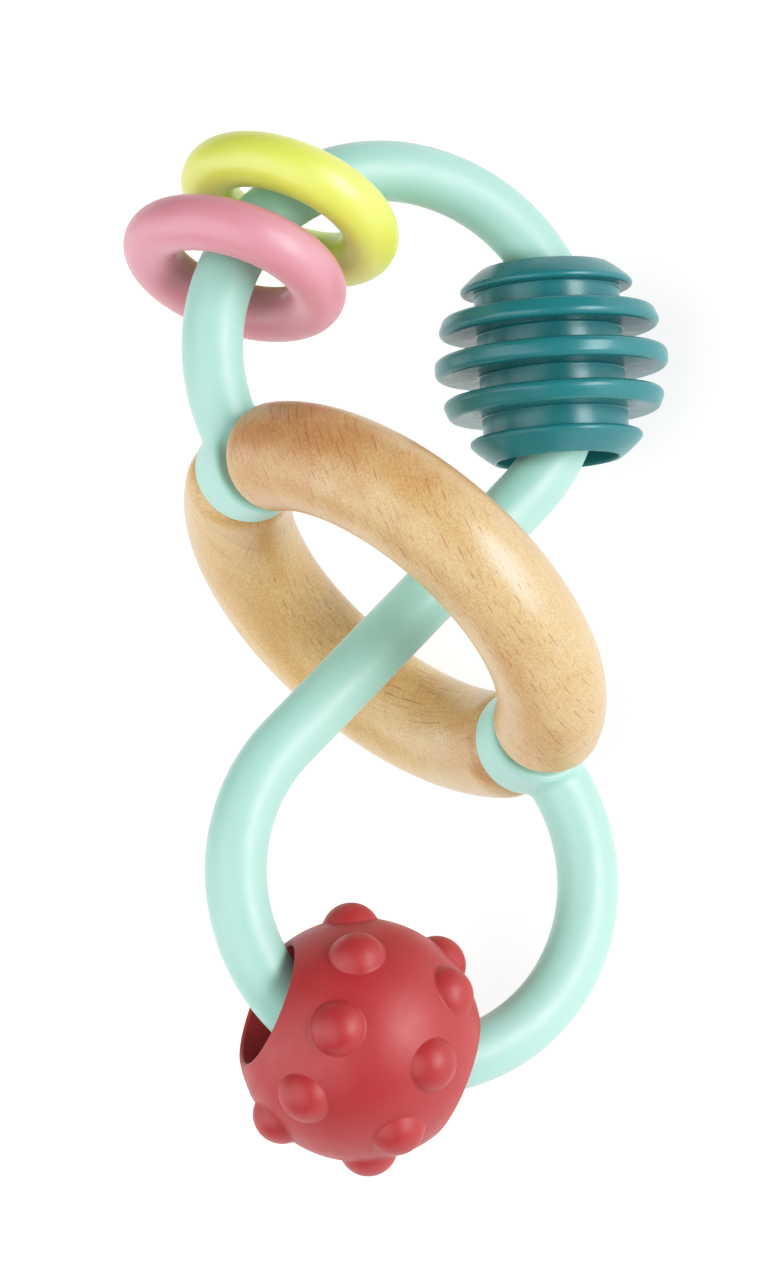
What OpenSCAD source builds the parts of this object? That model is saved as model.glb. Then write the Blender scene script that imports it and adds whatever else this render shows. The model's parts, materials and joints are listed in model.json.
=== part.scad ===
// Bead maze teether: an S-shaped grip tube whose two ends carry a beech ring,
// with two hoop beads, a ribbed bead and a bumpy ball threaded on its loops.
// Millimetres. The tube's S lies in its own flat plane (x across the S, y along
// its straight run, z square to it); the whole toy is then laid down on a table.

/* [Beech ring] */
// Radius of the ring's centre line
ring_R = 28; // [26:0.5:32]
// Thickness of the ring's round section
ring_d = 15.5; // [14:0.5:17]
// Rounding on the sawn ends of the two halves
end_round = 4.1; // [2:0.1:4.6]
// Tip of the ring towards the back of the S
ring_tip = -5.7; // [-8:0.1:0]
// Turn of the ring in the plane of the S
ring_turn = 1.7; // [0:0.1:3]
// Spin of the ring about its own axis, which sets the collars a little off the plane of the S
ring_spin = -1.7; // [-2:0.1:2]

/* [Dowels] */
// Diameter of the dowel through each collar
dowel_d = 6; // [4:0.5:7]
// Length of the dowel
dowel_l = 24; // [20:1:26]
// Glue gap round the dowel
glue_gap = 0.05; // [0.02:0.01:0.1]

/* [Grip tube] */
// Diameter of the tube
tube_d = 8.8; // [7:0.1:10]
// Radius of the upper loop's centre line
upper_R = 27.5; // [26:0.1:28]
// Radius of the lower loop's centre line
lower_R = 26.5; // [25.5:0.1:27]
// Length of the straight run above the ring's centre
straight_up = 25.9; // [25:0.1:27]
// Length of the straight run below the ring's centre
straight_down = 26.3; // [25.5:0.1:27]
// Sideways offset of the straight run from the ring's centre
straight_x = 3; // [2:0.1:4]

/* [Collars] */
// Half angle of the collar measured round the ring
collar_half = 5.8; // [5:0.1:7]
// Width of the rounded lip on each face of the collar
collar_lip = 0.9; // [0.5:0.1:1.5]
// Diameter of the collar
collar_d = 15.2; // [14.6:0.1:15.5]
// Room between the seat in the tube and the rounded end of a half ring
seat_gap = 0.25; // [0.1:0.05:0.5]

/* [Hoop beads] */
// Radius of a hoop's centre line
hoop_R = 12.5; // [12:0.1:13]
// Thickness of a hoop's round section
hoop_d = 8; // [7:0.1:8.4]

/* [Ribbed bead] */
// Diameter of the ball that the ribs are cut from
rib_ball_d = 34; // [32:0.5:36]
// Thickness of a rib
rib_t = 3.0; // [2.5:0.1:3.4]
// Width of the groove between two ribs
rib_gap = 3.05; // [2.6:0.05:3.2]
// Diameter of the core between the ribs
rib_core_d = 21.2; // [20:0.2:23]
// Diameter of the hole for the tube
rib_bore_d = 17.5; // [17:0.1:18.4]
// Rounding on the ribs' edges
rib_round = 0.45; // [0.2:0.05:0.6]

/* [Bumpy ball] */
// Diameter of the ball
ball_d = 34.4; // [33:0.1:36]
// Diameter of the hole for the tube
ball_bore_d = 17.6; // [17:0.1:18.4]
// Rounding at the mouth of the hole
ball_mouth = 0.8; // [0.4:0.1:1.2]
// Radius of the sphere that makes a bump
bump_r = 4.2; // [3.8:0.1:4.8]
// Distance of that sphere's centre from the ball's centre
bump_at = 15.2; // [14.6:0.1:15.4]
// Bumps in one row
bump_n = 8; // [6:1:8]
// Angle of each row from the ball's equator
bump_row = 26; // [24:1:28]

/* [Where the beads sit] */
// Pink hoop: angle on the upper loop
pink_at = 198.8; // [196:0.1:206]
// Yellow hoop: angle on the upper loop
yellow_at = 171.6; // [162:0.1:172]
// Ribbed bead: angle on the upper loop
ribbed_at = 45.6; // [40:0.1:80]
// Bumpy ball: angle on the lower loop
ball_at = -65.2; // [-100:0.1:0]

/* [How it lies on the table] */
// Lean about x, then about y, then turn about z, that rests it on the lower loop, the beech ring and the ribbed bead
lie = [-36.7, 39.7, -139.4]; // [-180:0.1:180]
// Shift that centres it over the origin and sets it down on the table
lie_at = [7.16, -0.22, 32.01]; // [-100:0.01:100]

/* [Hidden] */
$fn = 128;
ring_r = ring_d / 2;
collar_r = collar_d / 2;
tube_r = tube_d / 2;
upper_c = [straight_x - upper_R, straight_up];
lower_c = [straight_x + lower_R, -straight_down];
upper_sweep = 256;
lower_sweep = 266;
dowel_x = ring_R - 0.4;
wood_from = collar_half + (collar_lip + end_round - 0.1) / ring_R * 180 / PI;

// Lays the toy down from the plane of its S.
module laid()
    translate(lie_at) rotate(lie) children();

// The beech ring's own frame: y is its axis, x runs from the upper collar to the lower one.
module ring_frame() rotate([ring_tip, 0, ring_turn]) rotate([0, ring_spin, 0]) children();

// A point on the ring's centre line: x points outwards and z along the ring.
module on_ring(a) rotate([0, -a, 0]) translate([ring_R, 0, 0]) children();

// A stretch of the ring between two angles.
module ring_arc(a0, a1, r)
    rotate([90, 0, 0]) rotate([0, 0, a0])
        rotate_extrude(angle = a1 - a0) translate([ring_R, 0]) circle(r);

// A disc with one rounded edge, standing on z = 0, with a plug below it that ties it to its neighbour.
module round_cap(r, h, e)
    rotate_extrude()
        polygon(concat([[0, -1], [r - 1, -1], [r - 1, 0], [r, 0]],
                       [for (i = [0:12]) [r - e + e * cos(i * 7.5), h - e + e * sin(i * 7.5)]],
                       [[0, h]]));

// The two dowel holes, made wider than the dowels by the glue gap.
module dowel_holes()
    for (s = [-1, 1])
        translate([s * dowel_x, 0, -dowel_l / 2 - 0.5])
            cylinder(d = dowel_d + 2 * glue_gap, h = dowel_l + 1);

// A place on a loop: x points away from the loop's centre, y along the tube.
module on_loop(c, a, r) translate([c[0], c[1], 0]) rotate([0, 0, a]) translate([r, 0, 0]) children();

// One collar: a wedge of the ring with a rounded lip on both faces.
module collar() {
    ring_arc(-collar_half, collar_half, collar_r);
    on_ring(collar_half) round_cap(collar_r, collar_lip, collar_lip * 0.98);
    on_ring(-collar_half) mirror([0, 0, 1]) round_cap(collar_r, collar_lip, collar_lip * 0.98);
}

// The seat of a half ring's end: clears the tube where it is wider than the collar.
module seat()
    on_ring(collar_half) translate([0, 0, collar_lip + 0.02]) cylinder(r = ring_r + seat_gap, h = 6);

// The grip tube: upper loop, straight run, lower loop and the collars on its two ends.
module maze_tube() color([0.63, 0.88, 0.80]) laid() difference() {
    union() {
        translate([upper_c[0], upper_c[1], 0])
            rotate_extrude(angle = upper_sweep) translate([upper_R, 0]) circle(tube_r);
        translate([straight_x, -straight_down, 0])
            rotate([-90, 0, 0]) cylinder(r = tube_r, h = straight_down + straight_up);
        translate([lower_c[0], lower_c[1], 0])
            rotate([0, 0, 180]) rotate_extrude(angle = lower_sweep) translate([lower_R, 0]) circle(tube_r);
        ring_frame() {
            collar();
            mirror([1, 0, 0]) collar();
        }
    }
    ring_frame() {
        dowel_holes();
        for (x = [0, 1], z = [0, 1]) mirror([x, 0, 0]) mirror([0, 0, z]) seat();
    }
}

// One rounded, sawn end of a half ring, at the lower collar.
module wood_end()
    on_ring(wood_from) mirror([0, 0, 1]) round_cap(ring_r, end_round, end_round * 0.98);

// The room that a collar takes at the end of a half ring.
module collar_side()
    on_ring(collar_half) translate([-20, -20, collar_lip - 39.96]) cube([40, 40, 40]);

// Half of the beech ring, drilled at both ends for the dowels.
module half_ring() ring_frame() difference() {
    union() {
        ring_arc(wood_from, 180 - wood_from, ring_r);
        wood_end();
        mirror([1, 0, 0]) wood_end();
    }
    collar_side();
    mirror([1, 0, 0]) collar_side();
    dowel_holes();
}

module ring_half_front() color([0.83, 0.67, 0.46]) laid() half_ring();

module ring_half_rear() color([0.80, 0.63, 0.42]) laid()
    ring_frame() mirror([0, 0, 1]) difference() {
        union() {
            ring_arc(wood_from, 180 - wood_from, ring_r);
            wood_end();
            mirror([1, 0, 0]) wood_end();
        }
        collar_side();
        mirror([1, 0, 0]) collar_side();
        dowel_holes();
    }

// A dowel with chamfered ends, through one collar and into both half rings.
module dowel(s) ring_frame() translate([s * dowel_x, 0, -dowel_l / 2])
    rotate_extrude() polygon([[0, 0], [dowel_d / 2 - 0.6, 0], [dowel_d / 2, 0.6],
        [dowel_d / 2, dowel_l - 0.6], [dowel_d / 2 - 0.6, dowel_l], [0, dowel_l]]);

module dowel_upper() color([0.86, 0.74, 0.55]) laid() dowel(-1);
module dowel_lower() color([0.86, 0.74, 0.55]) laid() dowel(1);

// A hoop bead, tipped on the tube by a lean and a turn.
module hoop(lean, turn)
    rotate([lean, 0, turn]) rotate([-90, 0, 0])
        rotate_extrude() translate([hoop_R, 0]) circle(d = hoop_d);

module pink_hoop() color([0.86, 0.59, 0.65]) laid()
    on_loop(upper_c, pink_at, upper_R - 0.8) hoop(7.9, 4.3);

module yellow_hoop() color([0.86, 0.90, 0.43]) laid()
    on_loop(upper_c, yellow_at, upper_R - 1.48) hoop(7.4, 27.2);

// Outline of one rib between two heights, following the ball, with rounded edges.
function rib_at(z) = sqrt(pow(rib_ball_d / 2, 2) - z * z);
function rib_edge(z0, z1, e) = concat(
    [for (i = [0:4]) [rib_at(z0) - e + e * cos(-90 + i * 20), z0 + e + e * sin(-90 + i * 20)]],
    [for (i = [0:4]) let (t = i / 4, z = z0 + e + (z1 - z0 - 2 * e) * t) [rib_at(z), z]],
    [for (i = [0:4]) [rib_at(z1) - e + e * cos(10 + i * 20), z1 - e + e * sin(10 + i * 20)]]);

// The ribbed bead: five ribs of one ball on a core, with a straight hole for the tube.
module ribbed_bead() color([0.20, 0.51, 0.53]) laid()
    on_loop(upper_c, ribbed_at, upper_R - 3.37) rotate([1.4, 0, 2.7]) rotate([-90, 0, 0]) {
        pitch = rib_t + rib_gap;
        bore = rib_bore_d / 2;
        core = rib_core_d / 2;
        z_in = 2 * pitch - rib_t / 2;
        z_end = sqrt(pow(rib_ball_d / 2, 2) - pow(bore + 0.5, 2));
        e = rib_round;
        end_arc = [for (i = [0:10]) let (z = z_in + e + (z_end - z_in - e) * i / 10) [rib_at(z), z]];
        upper = concat(
            [[core, pitch + rib_t / 2], [core, z_in]],
            [for (i = [0:4]) [rib_at(z_in + e) - e + e * cos(-90 + i * 20), z_in + e + e * sin(-90 + i * 20)]],
            end_arc, [[bore + 0.15, z_end + 0.1], [bore, z_end - 0.1]]);
        side = concat(
            [[core, rib_t / 2], [core, pitch - rib_t / 2]],
            rib_edge(pitch - rib_t / 2, pitch + rib_t / 2, e));
        middle = rib_edge(-rib_t / 2, rib_t / 2, e);
        top = concat(side, upper);
        bottom = [for (i = [len(top) - 1:-1:0]) [top[i][0], -top[i][1]]];
        rotate_extrude() polygon(concat(bottom, middle, top));
    }

// The bumpy ball: a soft ball with a wide hole and two rows of round bumps.
module bumpy_ball() color([0.79, 0.29, 0.31]) laid()
    on_loop(lower_c, ball_at, lower_R - 1.75) rotate([1.8, 0, 0.2]) rotate([-90, 0, 0]) {
        R = ball_d / 2;
        b = ball_bore_d / 2;
        m = ball_mouth;
        zc = sqrt(pow(R - m, 2) - pow(b + m, 2));
        difference() {
            union() {
                sphere(R);
                for (s = [-1, 1], i = [0:bump_n - 1])
                    rotate([0, 0, i * 360 / bump_n + 10 - 90]) rotate([0, 90 - s * bump_row, 0])
                        translate([0, 0, bump_at]) sphere(bump_r, $fn = 64);
            }
            cylinder(r = b, h = 2 * R + 2, center = true);
            for (s = [0, 1]) mirror([0, 0, s]) rotate_extrude() difference() {
                polygon([[b - 1, zc], [b + m, zc], [(b + m) * R / (R - m), zc * R / (R - m)],
                         [(b + m) * (R + 3) / (R - m), zc * (R + 3) / (R - m)], [b - 1, zc * (R + 3) / (R - m)]]);
                translate([b + m, zc]) circle(m);
            }
        }
    }

maze_tube();
ring_half_front();
ring_half_rear();
dowel_upper();
dowel_lower();
pink_hoop();
yellow_hoop();
ribbed_bead();
bumpy_ball();
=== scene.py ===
import json
import math

import bpy
import numpy as np
from mathutils import Matrix, Vector

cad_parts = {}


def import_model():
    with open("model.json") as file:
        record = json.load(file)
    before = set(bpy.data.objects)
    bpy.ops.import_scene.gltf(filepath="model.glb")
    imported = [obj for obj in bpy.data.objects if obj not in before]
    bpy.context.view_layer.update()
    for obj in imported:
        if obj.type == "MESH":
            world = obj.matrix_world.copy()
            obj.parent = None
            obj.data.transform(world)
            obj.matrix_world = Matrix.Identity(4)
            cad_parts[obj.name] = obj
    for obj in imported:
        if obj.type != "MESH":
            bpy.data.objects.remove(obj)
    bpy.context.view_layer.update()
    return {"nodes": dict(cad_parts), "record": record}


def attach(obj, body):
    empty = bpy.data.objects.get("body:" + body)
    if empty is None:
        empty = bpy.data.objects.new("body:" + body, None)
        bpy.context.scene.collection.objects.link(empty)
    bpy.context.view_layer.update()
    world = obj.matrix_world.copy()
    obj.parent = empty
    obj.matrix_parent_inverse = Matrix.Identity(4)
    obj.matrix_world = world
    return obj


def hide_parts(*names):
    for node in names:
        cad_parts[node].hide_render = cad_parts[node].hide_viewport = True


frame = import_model()

# ---------------------------------------------------------------- places, in millimetres


def rot(axis, deg):
    c, s = math.cos(math.radians(deg)), math.sin(math.radians(deg))
    return np.array(
        {
            "x": [[1, 0, 0], [0, c, -s], [0, s, c]],
            "y": [[c, 0, s], [0, 1, 0], [-s, 0, c]],
            "z": [[c, -s, 0], [s, c, 0], [0, 0, 1]],
        }[axis],
        float,
    )


LIE = rot("z", -139.4) @ rot("y", 39.7) @ rot("x", -36.7)
LIE_AT = np.array([7.16, -0.22, 32.01])
RING = rot("z", 1.7) @ rot("x", -5.7) @ rot("y", -1.7)
RING_R, RING_r, COLLAR_r = 28.0, 7.75, 7.6
COLLAR, LIP, END = math.radians(5.8), 0.9, 4.1
WOOD_FROM = COLLAR + (LIP + END - 0.1) / RING_R
TUBE_r, UPPER_R, LOWER_R = 4.4, 27.5, 26.5
UPPER_C, LOWER_C = np.array([-24.5, 25.9]), np.array([29.5, -26.3])
HOOP_R, HOOP_r = 12.5, 4.0
BALL_R, BALL_HOLE, BALL_MOUTH = 17.2, 8.8, 0.5
BUMP_R, BUMP_AT = 4.2, 15.2


def world(p):
    """Points of the plane of the S, in mm, to the row frame, in metres."""
    return (p @ LIE.T + LIE_AT) / 1000


def flat(p):
    """Row-frame points, in metres, to the plane of the S, in mm."""
    return (p * 1000 - LIE_AT) @ LIE


def on_loop(c, deg, r, turn):
    """(origin, axes) of a bead on a loop, whose own z axis runs along its hole."""
    a = rot("z", deg)
    o = np.array([c[0], c[1], 0]) + a @ np.array([r, 0, 0])
    return o, a @ turn @ rot("x", -90)


PINK_AT = on_loop(UPPER_C, 198.8, UPPER_R - 0.8, rot("z", 4.3) @ rot("x", 7.9))
YELLOW_AT = on_loop(UPPER_C, 171.6, UPPER_R - 1.48, rot("z", 27.2) @ rot("x", 7.4))
RIBBED_AT = on_loop(UPPER_C, 45.6, UPPER_R - 3.37, rot("z", 2.7) @ rot("x", 1.4))
BALL_AT = on_loop(LOWER_C, -65.2, LOWER_R - 1.75, rot("z", 0.2) @ rot("x", 1.8))

# ---------------------------------------------------------------- shapes as distances


def to_arc(p, c, r, start, sweep):
    q = p[:, :2] - c
    turn = np.mod(np.degrees(np.arctan2(q[:, 1], q[:, 0])) - start, 360)
    on = np.hypot(np.hypot(q[:, 0], q[:, 1]) - r, p[:, 2])
    ends = []
    for a in (start, start + sweep):
        e = c + r * np.array([math.cos(math.radians(a)), math.sin(math.radians(a))])
        ends.append(np.sqrt(((p[:, :2] - e) ** 2).sum(1) + p[:, 2] ** 2))
    return np.where(turn <= sweep, on, np.minimum(*ends))


def fillet(a, b, r):
    """Union of two shapes with a hollow rounding of radius r where they meet."""
    return np.maximum(r, np.minimum(a, b)) - np.hypot(np.maximum(r - a, 0), np.maximum(r - b, 0))


def rounded_and(a, b, r):
    """What two shapes share, with its edge rounded to radius r."""
    return np.minimum(np.maximum(a, b), -r) + np.hypot(np.maximum(a + r, 0), np.maximum(b + r, 0))


def rounded_disc(side, top, e):
    return np.hypot(np.maximum(side + e, 0), np.maximum(top + e, 0)) + np.minimum(np.maximum(side + e, top + e), 0) - e


def ring_coords(p):
    return p @ RING


def ring_end(q, a):
    """A place by the ring's end plane at angle a: distance past it along the ring, and from the section's middle."""
    along = -q[:, 0] * math.sin(a) + q[:, 2] * math.cos(a)
    out = q[:, 0] * math.cos(a) + q[:, 2] * math.sin(a)
    near = np.hypot(out - RING_R, q[:, 1])
    torus = np.hypot(np.hypot(q[:, 0], q[:, 2]) - RING_R, q[:, 1])
    return along, near, torus


def holes(q):
    side = np.hypot(q[:, 0] - 27.6, q[:, 1]) - 3.05
    return np.maximum(side, np.abs(q[:, 2]) - 12.5)


def tube_shape(p):
    line = np.sqrt((p[:, 0] - 3) ** 2 + np.maximum(np.abs(p[:, 1] + 0.2) - 26.1, 0) ** 2 + p[:, 2] ** 2)
    tube = np.minimum(to_arc(p, UPPER_C, UPPER_R, 0, 256), to_arc(p, LOWER_C, LOWER_R, 180, 266))
    tube = np.minimum(tube, line) - TUBE_r
    q = np.abs(ring_coords(p) * [1, 0, 1]) + ring_coords(p) * [0, 1, 0]
    along, near, torus = ring_end(q, COLLAR)
    collar = rounded_disc(np.where(along > 0, near, torus) - COLLAR_r, along - LIP, LIP * 0.98)
    # The tube stops short of the rounded wood that sits against the collar.
    wood = np.minimum(wood_shape(1)(p), wood_shape(-1)(p))
    return np.maximum(rounded_and(fillet(tube, collar, 0.9), 0.12 - wood, 0.25), -holes(q))


def wood_shape(side):
    def shape(p):
        q = ring_coords(p)
        q = np.c_[np.abs(q[:, 0]), q[:, 1], q[:, 2] * side]
        along, near, torus = ring_end(q, WOOD_FROM)
        d = rounded_disc(np.where(along > 0, torus, near) - RING_r, -along - END, END * 0.98)
        cut = LIP + 0.04 - ring_end(q, COLLAR)[0]
        return np.maximum(rounded_and(d, cut, 0.25), -holes(q))

    return shape


def bump_middles():
    found = []
    for s in (-1, 1):
        for i in range(8):
            found.append(rot("z", i * 45 + 10 - 90) @ rot("y", 90 - s * 26) @ np.array([0, 0, BUMP_AT]))
    return found


def ball_skin(q):
    d = np.linalg.norm(q, axis=1) - BALL_R
    for c in bump_middles():
        d = fillet(d, np.linalg.norm(q - c, axis=1) - BUMP_R, 0.15)
    return d


def slope(shape, p, h=0.004):
    return np.stack([(shape(p + h * e) - shape(p - h * e)) / (2 * h) for e in np.eye(3)], 1)


# ---------------------------------------------------------------- meshes


def new_object(name, mesh, normals=None):
    mesh.polygons.foreach_set("use_smooth", np.ones(len(mesh.polygons), bool))
    if normals is not None:
        mesh.normals_split_custom_set_from_vertices(normals)
    mesh.update()
    o = bpy.data.objects.new(name, mesh)
    bpy.context.scene.collection.objects.link(o)
    return o


def settle(name, node, shape, voxel):
    """An even, closed mesh of a node, with its points set exactly on a smooth shape."""
    source = bpy.data.objects.new(name + "_source", frame["nodes"][node].data.copy())
    bpy.context.scene.collection.objects.link(source)
    weld = source.modifiers.new("weld", "WELD")
    weld.merge_threshold = 1e-6
    grid = source.modifiers.new("grid", "REMESH")
    grid.mode, grid.voxel_size, grid.adaptivity = "VOXEL", voxel / 1000, 0
    dg = bpy.context.evaluated_depsgraph_get()
    mesh = bpy.data.meshes.new_from_object(source.evaluated_get(dg), depsgraph=dg)
    bpy.data.objects.remove(source)
    mesh.name = name
    mesh.materials.clear()
    co = np.empty(len(mesh.vertices) * 3)
    mesh.vertices.foreach_get("co", co)
    p = flat(co.reshape(-1, 3))
    for _ in range(5):
        d, g = shape(p), slope(shape, p)
        step = d / np.maximum((g**2).sum(1), 0.25)
        p = p - np.clip(step, -0.4, 0.4)[:, None] * g
    g = slope(shape, p)
    g /= np.maximum(np.linalg.norm(g, axis=1, keepdims=True), 1e-9)
    mesh.vertices.foreach_set("co", world(p).ravel())
    return new_object(name, mesh, (g @ LIE.T).tolist())


def grid_object(name, p, n):
    """A closed surface from a grid of points that wraps both ways."""
    rows, cols = p.shape[:2]
    i, j = np.meshgrid(np.arange(rows), np.arange(cols), indexing="ij")
    a, b = i * cols + j, i * cols + (j + 1) % cols
    c, d = ((i + 1) % rows) * cols + (j + 1) % cols, ((i + 1) % rows) * cols + j
    mesh = bpy.data.meshes.new(name)
    mesh.from_pydata(world(p.reshape(-1, 3)).tolist(), [], np.stack([a, d, c, b], -1).reshape(-1, 4).tolist())
    return new_object(name, mesh, (n.reshape(-1, 3) @ LIE.T).tolist())


def turned(name, place, profile, steps):
    """A turned shape from a closed profile of (radius, height, normal out, normal up)."""
    o, axes = place
    t = np.arange(steps) * 2 * math.pi / steps
    r, z, nr, nz = (np.array(x) for x in zip(*profile))
    p = np.stack([np.outer(np.cos(t), r), np.outer(np.sin(t), r), np.tile(z, (steps, 1))], -1)
    n = np.stack([np.outer(np.cos(t), nr), np.outer(np.sin(t), nr), np.tile(nz, (steps, 1))], -1)
    return grid_object(name, p @ axes.T + o, n @ axes.T)


def hoop(name, place):
    t = np.arange(84) * 2 * math.pi / 84
    return turned(name, place, [(HOOP_R + HOOP_r * math.cos(a), HOOP_r * math.sin(a), math.cos(a), math.sin(a)) for a in t], 224)


def rounded_outline(points, steps):
    """A closed outline of straight runs with rounded corners, from (x, y, radius), anticlockwise, with its normals."""
    made, n = [], len(points)
    for k in range(n):
        a, b, c = (np.array(points[(k + i) % n][:2], float) for i in (-1, 0, 1))
        r = points[k][2]
        u, v = (b - a) / np.linalg.norm(b - a), (c - b) / np.linalg.norm(c - b)
        turn = math.atan2(u[0] * v[1] - u[1] * v[0], u @ v)
        if r <= 0 or abs(turn) < 0.02:
            m = u + v
            m /= np.linalg.norm(m)
            made.append((b[0], b[1], m[1], -m[0]))
            continue
        room = [0.97 if points[(k + i) % n][2] <= 0 else 0.49 for i in (-1, 1)]
        cut = min(r * abs(math.tan(turn / 2)), room[0] * np.linalg.norm(b - a), room[1] * np.linalg.norm(c - b))
        r = cut / abs(math.tan(turn / 2))
        left = np.array([-u[1], u[0]]) * math.copysign(1, turn)
        middle = b - u * cut + left * r
        for i in range(steps + 1):
            w = turn * i / steps
            q = -left
            q = np.array([q[0] * math.cos(w) - q[1] * math.sin(w), q[0] * math.sin(w) + q[1] * math.cos(w)])
            made.append((*(middle + q * r), *(q * math.copysign(1, turn))))
    return made


def ribbed_outline():
    R, bore, core, pitch, half, e, inner = 17.0, 8.75, 10.6, 6.05, 1.5, 1.05, 0.25
    out = lambda z: math.sqrt(R * R - z * z)
    z_end = math.sqrt(R * R - (bore + 0.5) ** 2)
    right = []
    z_in = 2 * pitch - half
    # From the lower mouth of the hole up the outside, then down the hole.
    right.append((bore + 0.35, -z_end - 0.06, 0.3))
    right += [(out(z), z, 0) for z in np.linspace(-z_end + 0.25, -z_in - e * 1.1, 14)]
    right.append((out(z_in), -z_in, e))
    right.append((core, -z_in, inner))
    for m in (-pitch, 0, pitch):
        lo, hi = m - half, m + half
        right.append((core, lo, inner))
        right.append((out(lo), lo, e))
        right += [(out(z), z, 0) for z in np.linspace(lo + e * 1.2, hi - e * 1.2, 3)]
        right.append((out(hi), hi, e))
        right.append((core, hi, inner))
    right.append((core, z_in, inner))
    right.append((out(z_in), z_in, e))
    right += [(out(z), z, 0) for z in np.linspace(z_in + e * 1.1, z_end - 0.25, 14)]
    right.append((bore + 0.35, z_end + 0.06, 0.3))
    right.append((bore, z_end - 0.5, 0.6))
    right += [(bore, z, 0) for z in np.linspace(z_end - 3, -z_end + 3, 8)]
    right.append((bore, -z_end + 0.5, 0.6))
    return rounded_outline(right, 8)


def bumpy(name, place, steps, rows):
    """The ball, turned about its hole, with its outside moved out onto the bumps."""
    m = BALL_HOLE + BALL_MOUTH
    zc = math.sqrt((BALL_R - BALL_MOUTH) ** 2 - m * m)
    top = math.atan2(m, zc)
    outline = [(BALL_HOLE, z, -1, 0) for z in np.linspace(zc, -zc, 26)[:-1]]
    for a in np.linspace(math.pi, 1.5 * math.pi + top, 9)[:-1]:
        outline.append((m + BALL_MOUTH * math.cos(a), -zc + BALL_MOUTH * math.sin(a), math.cos(a), math.sin(a)))
    skin_from = len(outline)
    for a in np.linspace(math.pi - top, top, rows):
        outline.append((BALL_R * math.sin(a), BALL_R * math.cos(a), math.sin(a), math.cos(a)))
    skin_to = len(outline)
    for a in np.linspace(0.5 * math.pi - top, math.pi, 9)[1:-1]:
        outline.append((m + BALL_MOUTH * math.cos(a), zc + BALL_MOUTH * math.sin(a), math.cos(a), math.sin(a)))
    t = np.arange(steps) * 2 * math.pi / steps
    r, z, nr, nz = (np.array(x) for x in zip(*outline))
    p = np.stack([np.outer(np.cos(t), r), np.outer(np.sin(t), r), np.tile(z, (steps, 1))], -1)
    n = np.stack([np.outer(np.cos(t), nr), np.outer(np.sin(t), nr), np.tile(nz, (steps, 1))], -1)
    out = p[:, skin_from:skin_to].reshape(-1, 3)
    way = out / np.linalg.norm(out, axis=1, keepdims=True)
    far = np.full(len(out), BALL_R)
    for _ in range(12):
        far -= np.clip(ball_skin(way * far[:, None]) / np.maximum((slope(ball_skin, way * far[:, None]) * way).sum(1), 0.35), -0.7, 0.7)
    g = slope(ball_skin, way * far[:, None])
    g /= np.linalg.norm(g, axis=1, keepdims=True)
    p[:, skin_from:skin_to] = (way * far[:, None]).reshape(steps, -1, 3)
    n[:, skin_from:skin_to] = g.reshape(steps, -1, 3)
    o, axes = place
    return grid_object(name, p @ axes.T + o, n @ axes.T)


tube = settle("maze_tube_smooth", "maze_tube", tube_shape, 0.385)
wood_front = settle("ring_half_front_smooth", "ring_half_front", wood_shape(1), 0.36)
wood_rear = settle("ring_half_rear_smooth", "ring_half_rear", wood_shape(-1), 0.36)
ball = bumpy("bumpy_ball_smooth", BALL_AT, 420, 150)
pink = hoop("pink_hoop_smooth", PINK_AT)
yellow = hoop("yellow_hoop_smooth", YELLOW_AT)
ribbed = turned("ribbed_bead_smooth", RIBBED_AT, ribbed_outline(), 224)

# ---------------------------------------------------------------- finishes


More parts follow.
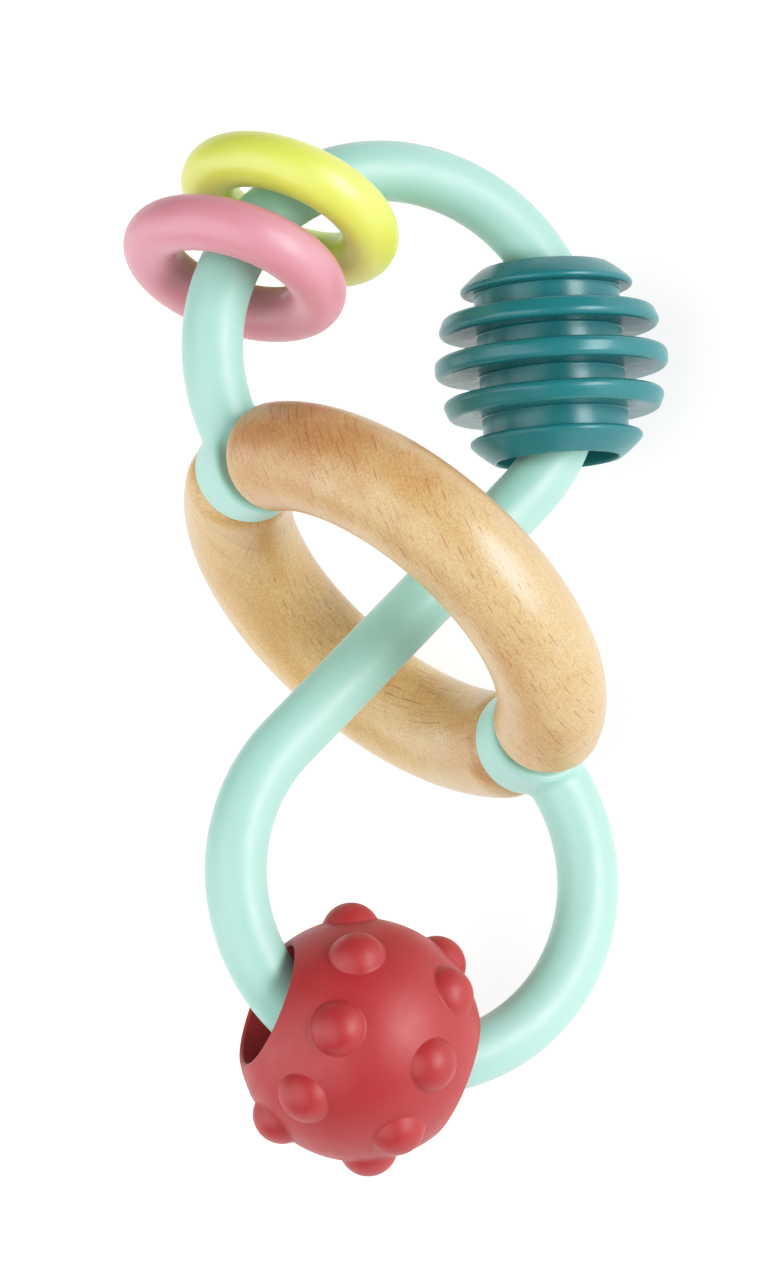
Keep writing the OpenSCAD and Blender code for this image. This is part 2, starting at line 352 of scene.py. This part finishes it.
class Finish:
    """A material's nodes, with short calls for the nodes that it is made from."""

    def __init__(self, name, **values):
        self.mat = bpy.data.materials.new(name)
        self.mat.use_nodes = True
        self.tree = self.mat.node_tree
        self.tree.nodes.clear()
        self.out = self.tree.nodes.new("ShaderNodeOutputMaterial")
        self.skin = self.tree.nodes.new("ShaderNodeBsdfPrincipled")
        self.tree.links.new(self.skin.outputs[0], self.out.inputs[0])
        for k, v in values.items():
            self.skin.inputs[k.replace("_", " ")].default_value = v
        at = self.tree.nodes.new("ShaderNodeTexCoord")
        self.mm = self.vec("SCALE", at.outputs["Object"], scale=1000)

    def put(self, socket, value):
        if isinstance(value, bpy.types.NodeSocket):
            self.tree.links.new(value, socket)
        elif value is not None:
            socket.default_value = value

    def node(self, kind, **props):
        n = self.tree.nodes.new(kind)
        for k, v in props.items():
            setattr(n, k, v)
        return n

    def math(self, op, a, b=None, c=None, clamp=False):
        n = self.node("ShaderNodeMath", operation=op, use_clamp=clamp)
        for s, v in zip(n.inputs, (a, b, c)):
            self.put(s, v)
        return n.outputs[0]

    def vec(self, op, a, b=None, scale=None):
        n = self.node("ShaderNodeVectorMath", operation=op)
        self.put(n.inputs[0], a)
        if b is not None:
            self.put(n.inputs[1], b)
        if scale is not None:
            self.put(n.inputs["Scale"], scale)
        return n.outputs["Value"] if op in ("DOT_PRODUCT", "LENGTH", "DISTANCE") else n.outputs["Vector"]

    def join(self, x, y, z):
        n = self.node("ShaderNodeCombineXYZ")
        for s, v in zip(n.inputs, (x, y, z)):
            self.put(s, v)
        return n.outputs[0]

    def split(self, v):
        n = self.node("ShaderNodeSeparateXYZ")
        self.put(n.inputs[0], v)
        return n.outputs

    def noise(self, where, scale, detail=2, rough=0.5):
        n = self.node("ShaderNodeTexNoise")
        self.put(n.inputs["Vector"], where)
        self.put(n.inputs["Scale"], scale)
        self.put(n.inputs["Detail"], detail)
        self.put(n.inputs["Roughness"], rough)
        return n.outputs[0]

    def step(self, value, lo, hi, to_lo=0.0, to_hi=1.0, smooth=True):
        n = self.node("ShaderNodeMapRange", interpolation_type="SMOOTHSTEP" if smooth else "LINEAR")
        for s, v in zip(n.inputs, (value, lo, hi, to_lo, to_hi)):
            self.put(s, v)
        return n.outputs[0]

    def mix(self, share, a, b, blend="MIX"):
        n = self.node("ShaderNodeMix", data_type="RGBA", blend_type=blend)
        self.put(n.inputs[0], share)
        self.put(n.inputs[6], a)
        self.put(n.inputs[7], b)
        return n.outputs[2]

    def bump(self, height, distance, strength=1.0, after=None):
        n = self.node("ShaderNodeBump")
        n.inputs["Strength"].default_value = strength
        n.inputs["Distance"].default_value = distance
        self.put(n.inputs["Height"], height)
        if after is not None:
            self.put(n.inputs["Normal"], after)
        return n.outputs[0]

    def set(self, name, value):
        self.put(self.skin.inputs[name], value)


def rgb(r, g, b):
    """A colour given in the usual 0 to 255, as a linear one."""
    return tuple((x / 255 / 12.92 if x < 11 else ((x / 255 + 0.055) / 1.055) ** 2.4) for x in (r, g, b)) + (1,)


def moulded(name, colour, deep, rough, spread=0.06, grain=0.22, lift=0.010, soft=0.0, tint=None, hole=None, **more):
    """A moulded plastic or silicone: an even colour with slow drifts, a fine tooled grain and uneven shine."""
    f = Finish(name, **more)
    slow = f.noise(f.mm, 0.07, 2)
    fine = f.noise(f.mm, 1.0 / grain, 2, 0.6)
    f.set("Base Color", f.mix(f.step(slow, 0.3, 0.7, 0.0, 1.0), colour, deep))
    cloud = f.noise(f.mm, 0.35, 3)
    shine = f.step(f.math("ADD", f.math("MULTIPLY", cloud, 0.7), f.math("MULTIPLY", fine, 0.3)), 0.3, 0.7, rough - spread, rough + spread)
    if hole:
        # The wall of a bead's hole is left as it comes from the mould, duller than the outside.
        away = f.vec("LENGTH", f.vec("CROSS_PRODUCT", f.vec("SUBTRACT", f.mm, hole[0]), hole[1]))
        inside = f.step(away, hole[2] + 0.03, hole[2] + 0.3, 1.0, 0.0)
        shine = f.math("ADD", shine, f.math("MULTIPLY", inside, 0.38))
        f.set("Specular IOR Level", f.math("MULTIPLY", f.math("SUBTRACT", 1.0, f.math("MULTIPLY", inside, 0.75)), more["Specular_IOR_Level"]))
    f.set("Roughness", shine)
    f.set("Normal", f.bump(fine, lift / 1000))
    if soft:
        f.skin.inputs["Subsurface Weight"].default_value = soft
        f.skin.inputs["Subsurface Scale"].default_value = 0.0016
        f.skin.inputs["Subsurface Radius"].default_value = tint or (1, 1, 1)
    return f.mat


def beech(name, g, t, seed, warm, painted_highlight, tone=(1, 1, 1, 1)):
    """Oiled beech: g is the way of the grain and t the way across its rays, in the ring's own axes; warm is the (place,
    reach) of ruddier wood, and the argument after it the (place, reach) of paler wood laid where the highlight falls, a
    painted highlight.
    """
    g, t = np.array(g, float), np.array(t, float)
    g /= np.linalg.norm(g)
    t -= g * (t @ g)
    t /= np.linalg.norm(t)
    r = np.cross(g, t)
    to_row = LIE @ RING
    g, t, r = (tuple(to_row @ v) for v in (g, t, r))
    f = Finish(name, IOR=1.47, Specular_IOR_Level=0.75, Coat_Weight=0.5, Coat_Roughness=0.37)
    here = f.vec("ADD", f.mm, seed)
    G, T, D = (f.vec("DOT_PRODUCT", here, v) for v in (g, t, r))
    drift = f.noise(f.join(f.math("MULTIPLY", G, 0.04), f.math("MULTIPLY", T, 0.08), f.math("MULTIPLY", D, 0.08)), 1, 2)
    T = f.math("ADD", T, f.math("MULTIPLY", drift, 2.2))
    D = f.math("ADD", D, f.math("MULTIPLY", drift, 5.0))

    # Slow clouds of tone along the grain.
    cloud = f.noise(f.join(f.math("MULTIPLY", G, 0.045), f.math("MULTIPLY", T, 0.15), f.math("MULTIPLY", D, 0.15)), 1, 3, 0.5)
    colour = f.mix(f.step(cloud, 0.3, 0.7), WOOD_PALE, WOOD_MID)

    # Growth rings: each year darkens slowly and ends in a thin, broken line.
    year = f.math("FRACT", f.math("MULTIPLY", D, 1 / 3.4))
    late = f.math("ADD", f.math("MULTIPLY", f.math("POWER", year, 14), 0.5), f.math("MULTIPLY", f.math("POWER", year, 3), 0.22))
    ring_on = f.step(f.noise(f.join(f.math("MULTIPLY", G, 0.05), f.math("MULTIPLY", T, 0.1), f.math("MULTIPLY", D, 0.12)), 1, 2), 0.42, 0.66)
    late = f.math("MULTIPLY", late, f.math("ADD", f.math("MULTIPLY", ring_on, 0.85), 0.15))
    colour = f.mix(late, colour, WOOD_RING)

    # Ruddier stains.
    near = f.vec("DISTANCE", f.mm, warm[0])
    blotch = f.step(f.noise(f.mm, 0.16, 3), 0.38, 0.62)
    stain = f.math("MULTIPLY", f.step(near, 4, warm[1], 1, 0), f.math("ADD", f.math("MULTIPLY", blotch, 0.55), 0.45))
    specks = f.math("MULTIPLY", f.step(f.noise(f.vec("ADD", f.mm, (31, 7, 13)), 0.11, 3, 0.6), 0.6, 0.74), 0.5)
    colour = f.mix(f.math("MAXIMUM", f.math("MULTIPLY", stain, 0.85), specks), colour, WOOD_WARM)

    # Painted highlight: a patch of paler wood laid where the lamps' highlight falls on each half, not sapwood.
    far = f.math("ADD", f.vec("DISTANCE", f.mm, painted_highlight[0]), f.math("MULTIPLY", f.math("SUBTRACT", blotch, 0.5), painted_highlight[1] * 0.3))
    colour = f.mix(f.step(far, 3, painted_highlight[1], 0.62, 0), colour, WOOD_PAINTED_HIGHLIGHT)

    # Fibres, pores and a fine sanded speckle.
    fibre = f.noise(f.join(f.math("MULTIPLY", G, 0.35), f.math("MULTIPLY", T, 3.2), f.math("MULTIPLY", D, 3.2)), 1, 3, 0.6)
    pores = f.noise(f.join(f.math("MULTIPLY", G, 2.0), f.math("MULTIPLY", T, 5.0), f.math("MULTIPLY", D, 5.0)), 1, 2, 0.6)
    speck = f.noise(f.mm, 3.2, 2, 0.7)
    colour = f.mix(f.step(fibre, 0.35, 0.75, 0.0, 0.36), colour, WOOD_FIBRE)
    colour = f.mix(f.step(pores, 0.5, 0.78, 0.0, 0.38), colour, WOOD_RING)
    colour = f.mix(f.step(speck, 0.42, 0.7, 0.0, 0.42), colour, WOOD_FIBRE)
    colour = f.mix(f.step(speck, 0.58, 0.32, 0.0, 0.32), colour, WOOD_BRIGHT)

    # Rays: thin sheets across the years, which show as short dark strokes along the grain.
    facing = f.node("ShaderNodeNewGeometry").outputs["Normal"]
    edge_on = f.step(f.math("ABSOLUTE", f.vec("DOT_PRODUCT", facing, t)), 0.55, 0.95, 1.0, 0.12)

    def rays(long, wide, deep, thick, least, share, shift):
        place = f.join(f.math("ADD", f.math("DIVIDE", G, long), shift), f.math("DIVIDE", T, wide), f.math("DIVIDE", D, deep))
        cells = f.node("ShaderNodeTexVoronoi", feature="F1", voronoi_dimensions="3D")
        f.put(cells.inputs["Vector"], place)
        cells.inputs["Scale"].default_value = 1
        off = f.split(f.vec("SUBTRACT", place, cells.outputs["Position"]))
        lot = f.split(cells.outputs["Color"])
        reach = f.math("ADD", f.math("MULTIPLY", lot[0], long * 0.42), long * 0.16)
        a = f.math("DIVIDE", f.math("MULTIPLY", off[0], long), reach)
        b = f.math("DIVIDE", f.math("MULTIPLY", off[1], wide), thick)
        body = f.math("SUBTRACT", 1, f.math("ADD", f.math("MULTIPLY", a, a), f.math("MULTIPLY", b, b)))
        shown = f.step(lot[1], least, 1.0, 0.3, 1.0)
        shown = f.math("MULTIPLY", shown, f.math("GREATER_THAN", lot[1], least))
        return f.math("MULTIPLY", f.math("MULTIPLY", f.step(body, 0.0, 0.8), shown), f.math("MULTIPLY", edge_on, share))

    strokes = rays(3.3, 1.2, 12.0, 0.10, 0.22, 1.0, 0.0)
    small = rays(1.6, 0.62, 7.0, 0.065, 0.3, 0.6, 7.3)
    marks = f.math("MAXIMUM", strokes, small)
    colour = f.mix(f.math("MULTIPLY", marks, 0.66), colour, WOOD_RAY)
    f.set("Base Color", f.mix(1.0, colour, tone, "MULTIPLY"))
    f.set("Roughness", f.step(f.math("ADD", f.math("MULTIPLY", fibre, 0.6), f.math("MULTIPLY", marks, 0.4)), 0.25, 0.75, 0.38, 0.52))
    low = f.math("SUBTRACT", f.math("ADD", f.math("MULTIPLY", fibre, 0.35), f.math("MULTIPLY", speck, 0.25)), f.math("ADD", f.math("MULTIPLY", marks, 0.5), f.math("MULTIPLY", pores, 0.3)))
    f.set("Normal", f.bump(low, 0.016 / 1000))
    return f.mat


def ring_point(deg, up=0.0):
    """A place on the ring's middle line, at an angle from the lower collar towards the front, in row-frame mm."""
    a = math.radians(deg)
    return tuple(LIE @ (RING @ np.array([RING_R * math.cos(a), up, RING_R * math.sin(a)])) + LIE_AT)


# The last colour on the next line is the pale colour of the painted highlight.
WOOD_PALE, WOOD_MID, WOOD_BRIGHT, WOOD_PAINTED_HIGHLIGHT = rgb(204, 172, 122), rgb(190, 152, 98), rgb(222, 194, 148), rgb(210, 190, 158)
WOOD_FIBRE, WOOD_RING, WOOD_WARM, WOOD_RAY = rgb(178, 137, 83), rgb(168, 119, 66), rgb(178, 114, 60), rgb(138, 78, 32)

ribbed_hole = (tuple(LIE @ RIBBED_AT[0] + LIE_AT), tuple(LIE @ RIBBED_AT[1][:, 2]), 8.75)
finishes = {
    tube: ("mint_tube", moulded("mint_satin", rgb(160, 208, 196), rgb(156, 205, 193), 0.44, soft=0.25, tint=(0.4, 1.0, 0.75), Specular_IOR_Level=0.68, Sheen_Weight=0.14, Sheen_Roughness=0.45)),
    pink: ("pink_bead", moulded("pink_satin", rgb(208, 140, 152), rgb(205, 136, 148), 0.41, soft=0.25, tint=(1.0, 0.35, 0.35), Specular_IOR_Level=0.62)),
    yellow: ("yellow_bead", moulded("yellow_satin", rgb(214, 223, 94), rgb(211, 220, 89), 0.42, soft=0.35, tint=(1.0, 0.9, 0.15), Specular_IOR_Level=0.95, Coat_Weight=0.2, Coat_Roughness=0.42)),
    ribbed: ("teal_bead", moulded("teal_gloss", rgb(32, 118, 123), rgb(28, 113, 118), 0.29, spread=0.03, grain=0.4, lift=0.001, hole=ribbed_hole, Specular_IOR_Level=0.5)),
    ball: ("red_silicone", moulded("red_silicone_matt", rgb(163, 42, 45), rgb(158, 38, 42), 0.47, spread=0.05, grain=0.3, lift=0.015, soft=0.1, tint=(1.0, 0.2, 0.15), Specular_IOR_Level=0.54)),
    # On each half, the second (place, reach) sets where the painted highlight lies.
    wood_front: ("beech", beech("beech_front", (0.955, -0.153, -0.254), (0.287, 0.692, 0.662), (3.0, 41.0, 17.0), (ring_point(150, 7), 33), (ring_point(76, 1), 36), (0.97, 0.90, 0.79, 1))),
    wood_rear: ("beech", beech("beech_rear", (0.95, -0.072, -0.304), (-0.009, -0.979, 0.204), (57.0, 8.0, 29.0), (ring_point(-14, -6), 11), (ring_point(-24, -5), 12), (1.06, 1.03, 0.93, 1))),
}
stands_for = {
    tube: "maze_tube",
    pink: "pink_hoop",
    yellow: "yellow_hoop",
    ribbed: "ribbed_bead",
    ball: "bumpy_ball",
    wood_front: "ring_half_front",
    wood_rear: "ring_half_rear",
}
body_of = {n: b for b, ns in frame["record"]["behaviour"]["bodies"].items() for n in ns}
for piece, (slot, mat) in finishes.items():
    piece.data.materials.append(mat)
    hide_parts(stands_for[piece])
    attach(piece, body_of[stands_for[piece]])

# The dowels' beech takes a small painted highlight too.
dowel_wood = beech("beech_dowel", (0, 0, 1), (1, 0, 0), (5.0, 12.0, 71.0), (ring_point(0), 5), (ring_point(180), 5))
for n in ("dowel_upper", "dowel_lower"):
    frame["nodes"][n].data.materials.clear()
    frame["nodes"][n].data.materials.append(dowel_wood)

# ---------------------------------------------------------------- floor, light and camera

floor_mesh = bpy.data.meshes.new("floor")
floor_mesh.from_pydata([(x, y, -0.0002) for x, y in ((-4, -4), (4, -4), (4, 4), (-4, 4))], [], [(0, 1, 2, 3)])
floor = bpy.data.objects.new("floor", floor_mesh)
bpy.context.scene.collection.objects.link(floor)
pale = Finish("pale_floor", Roughness=0.9)
pale.skin.inputs["Base Color"].default_value = (0.44, 0.44, 0.44, 1)
pale.skin.inputs["Emission Color"].default_value = (1, 1, 1, 1)
pale.skin.inputs["Emission Strength"].default_value = 0.80
floor_mesh.materials.append(pale.mat)

RIGHT, UP, BACK = (Vector(LIE @ np.array(v)).normalized() for v in ((0.68138, 0.65363, 0.32937), (-0.72128, 0.67611, 0.15041), (-0.12438, -0.34006, 0.93214)))
MIDDLE = Vector((0.0, 0.0, 0.035))


def soft_light(name, way, far, wide, high, watts):
    """A soft box that faces the toy, with its long sides level with the floor."""
    z = Vector(way).normalized()
    x = Vector((-z.y, z.x, 0)).normalized()
    data = bpy.data.lights.new(name, "AREA")
    data.shape, data.size, data.size_y, data.energy = "RECTANGLE", wide, high, watts
    o = bpy.data.objects.new(name, data)
    bpy.context.scene.collection.objects.link(o)
    m = Matrix((x, z.cross(x), z)).transposed().to_4x4()
    m.translation = MIDDLE + z * far
    o.matrix_world = m
    return o


soft_light("top_box", (-0.386, 0.184, 0.904), 0.9, 1.25, 1.15, 9.5)
soft_light("front_box", (0.102, -0.969, 0.225), 0.9, 0.80, 0.36, 8.3)
soft_light("back_box", (-0.264, 0.870, 0.416), 0.9, 0.84, 0.60, 2.8)

world_light = bpy.data.worlds.new("studio")
world_light.use_nodes = True
sky = world_light.node_tree.nodes["Background"]
sky.inputs[0].default_value = (1, 1, 1, 1)
sky.inputs[1].default_value = 0.13
bpy.context.scene.world = world_light

lens = bpy.data.cameras.new("camera")
lens.lens, lens.sensor_width, lens.sensor_fit = 168.12, 36, "AUTO"
lens.clip_start, lens.clip_end = 0.01, 50
camera = bpy.data.objects.new("camera", lens)
bpy.context.scene.collection.objects.link(camera)
at = Matrix((RIGHT, UP, BACK)).transposed().to_4x4()
at.translation = Vector(world(np.array([-102.78, -294.58, 795.24])))
camera.matrix_world = at
bpy.context.scene.camera = camera

bpy.context.scene.view_settings.view_transform = "Standard"
bpy.context.scene.view_settings.look = "None"
# A soft shoulder, as a camera has, so that bright sides keep their tone.
bpy.context.scene.view_settings.use_curve_mapping = True
tone_curve = bpy.context.scene.view_settings.curve_mapping
for x, y in ((0.25, 0.25), (0.5, 0.53), (0.75, 0.765)):
    tone_curve.curves[3].points.new(x, y)
tone_curve.curves[3].points[-1].location = (1.0, 0.94)
tone_curve.update()
